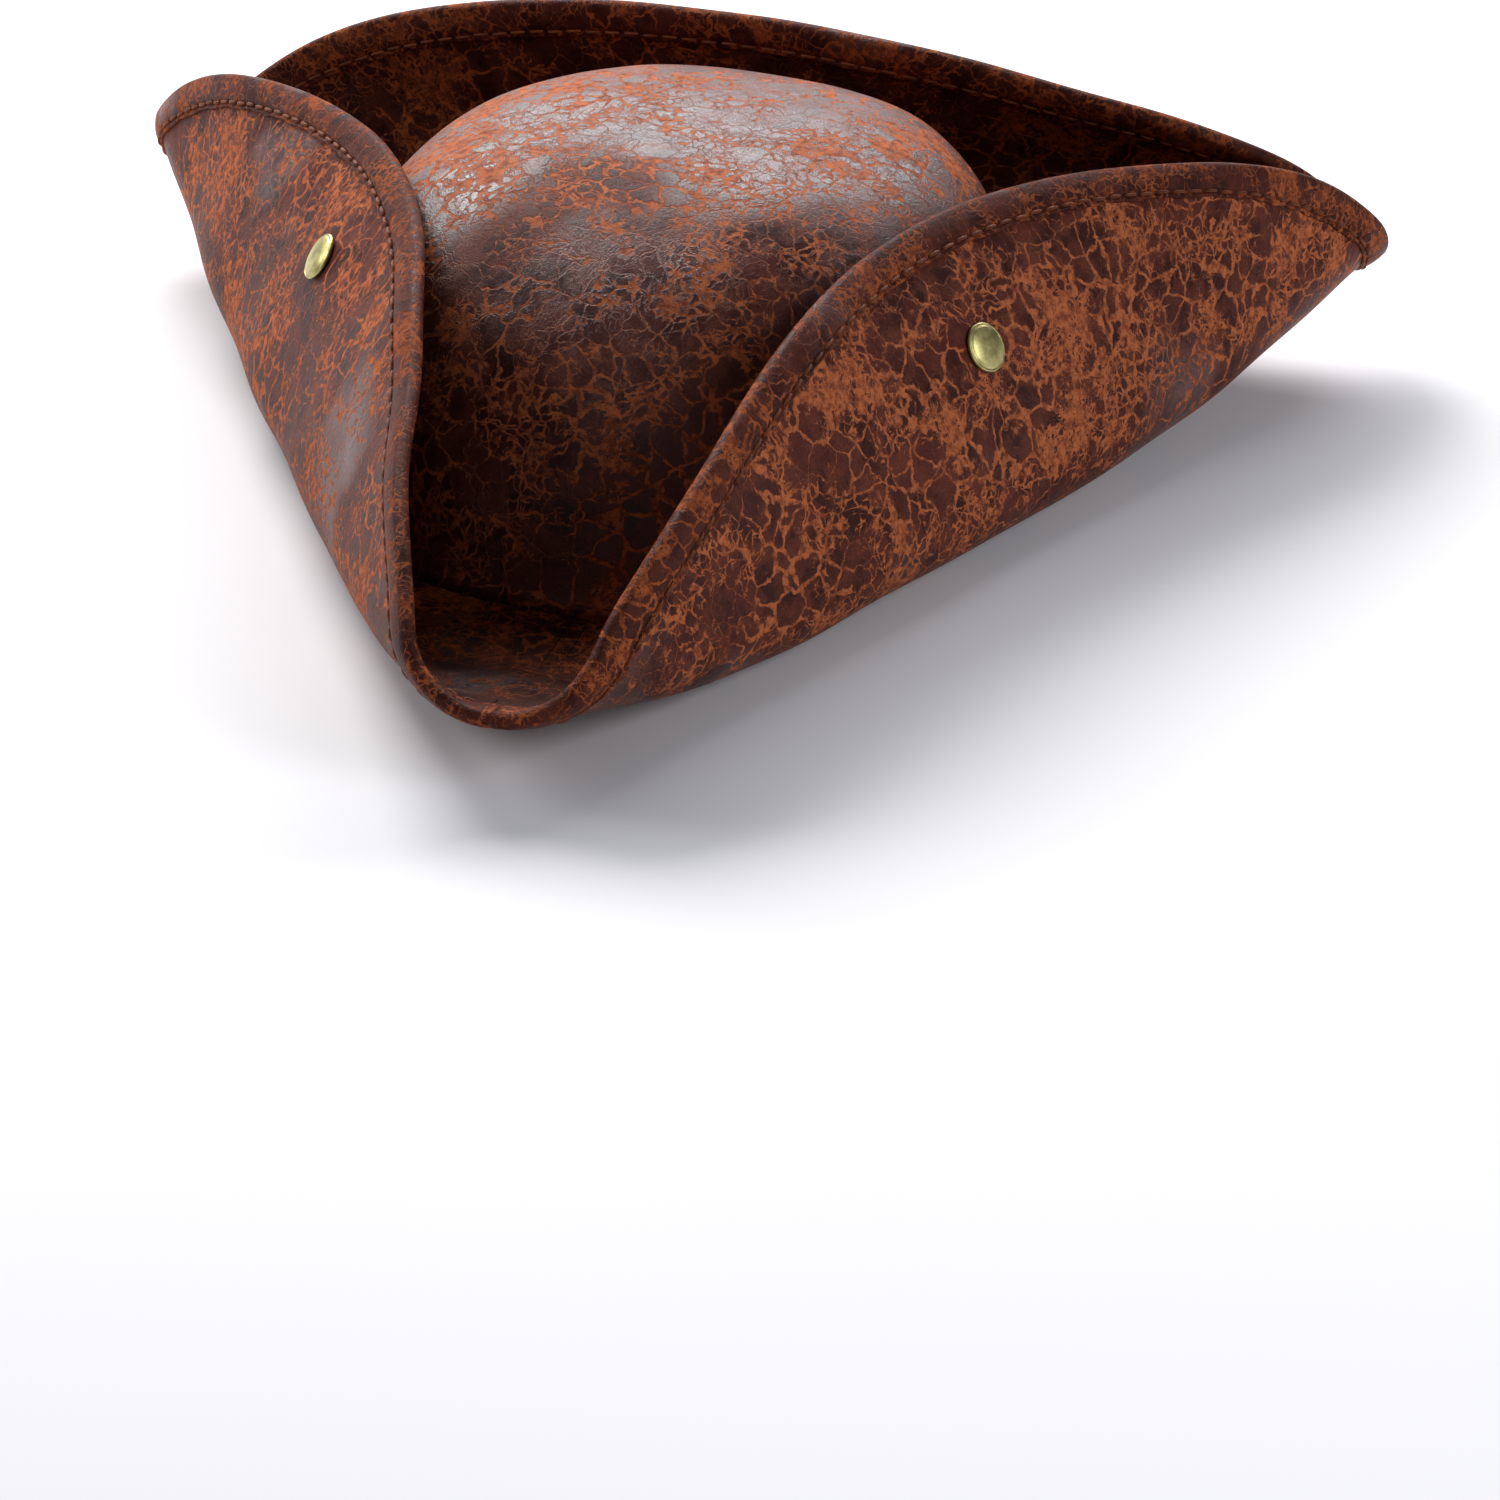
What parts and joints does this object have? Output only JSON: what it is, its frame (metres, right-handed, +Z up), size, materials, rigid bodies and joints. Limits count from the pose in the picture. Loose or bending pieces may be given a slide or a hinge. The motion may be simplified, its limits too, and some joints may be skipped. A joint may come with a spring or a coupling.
{
  "type": "pirate hat",
  "caption": "Tricorn pirate hat in distressed brown leather cloth: domed crown, bound brim turned up in flaps that unsnap and fold down.",
  "frame": {"origin": "centre of the head opening, on the plane that the brim's underside rests on", "axes": "+X to the wearer's left as seen from the front corner's view, -Y towards the front corner, +Z up through the crown"},
  "size_m": [0.3418, 0.3161, 0.0855],
  "materials": {
    "leather": "distressed burnt-orange and near-black crackle, satin",
    "leather_inside": "the same distressed leather cloth, satin",
    "leather_trim": "redder brown folded tape, satin",
    "sweatband_leather": "smooth dark band, soft satin",
    "lining_cloth": "plain-woven black lining",
    "board": "bonded stiffener, matte",
    "thread": "orange-tan sewing thread",
    "brass": "antiqued satin brass"
  },
  "bodies": {
    "root": {"crown_shell": "leather", "crown_lining": "lining_cloth", "sweatband": "sweatband_leather", "sweatband_stitching": "thread", "crown_seam_stitching": "thread", "brim_outer_facing": "leather", "brim_stiffener": "board", "brim_inner_facing": "leather_inside", "corner_bindings": "leather_trim", "right_snap_stud": "brass", "right_snap_post": "brass", "left_snap_stud": "brass", "left_snap_post": "brass"},
    "right_flap": {"right_flap_outer_facing": "leather", "right_flap_stiffener": "board", "right_flap_inner_facing": "leather_inside", "right_flap_binding": "leather_trim", "right_flap_stitching": "thread", "right_snap_cap": "brass", "right_snap_socket": "brass"},
    "left_flap": {"left_flap_outer_facing": "leather", "left_flap_stiffener": "board", "left_flap_inner_facing": "leather_inside", "left_flap_binding": "leather_trim", "left_flap_stitching": "thread", "left_snap_cap": "brass", "left_snap_socket": "brass"},
    "back_flap": {"back_flap_outer_facing": "leather", "back_flap_stiffener": "board", "back_flap_inner_facing": "leather_inside", "back_flap_binding": "leather_trim", "back_flap_stitching": "thread"}
  },
  "joints": [
    {"name": "right_flap_fold", "type": "hinge", "parent": "root", "child": "right_flap", "pos_m": [0.08757, -0.04536, 0.006], "axis": [0.4708, 0.8822, 0], "range_deg": [0, 60]},
    {"name": "left_flap_fold", "type": "hinge", "parent": "root", "child": "left_flap", "pos_m": [-0.08757, -0.04536, 0.006], "axis": [0.4708, -0.8822, 0], "range_deg": [0, 60]},
    {"name": "back_flap_fold", "type": "hinge", "parent": "root", "child": "back_flap", "pos_m": [0, 0.1176, 0.011], "axis": [-1, 0, 0], "range_deg": [0, 60]}
  ]
}
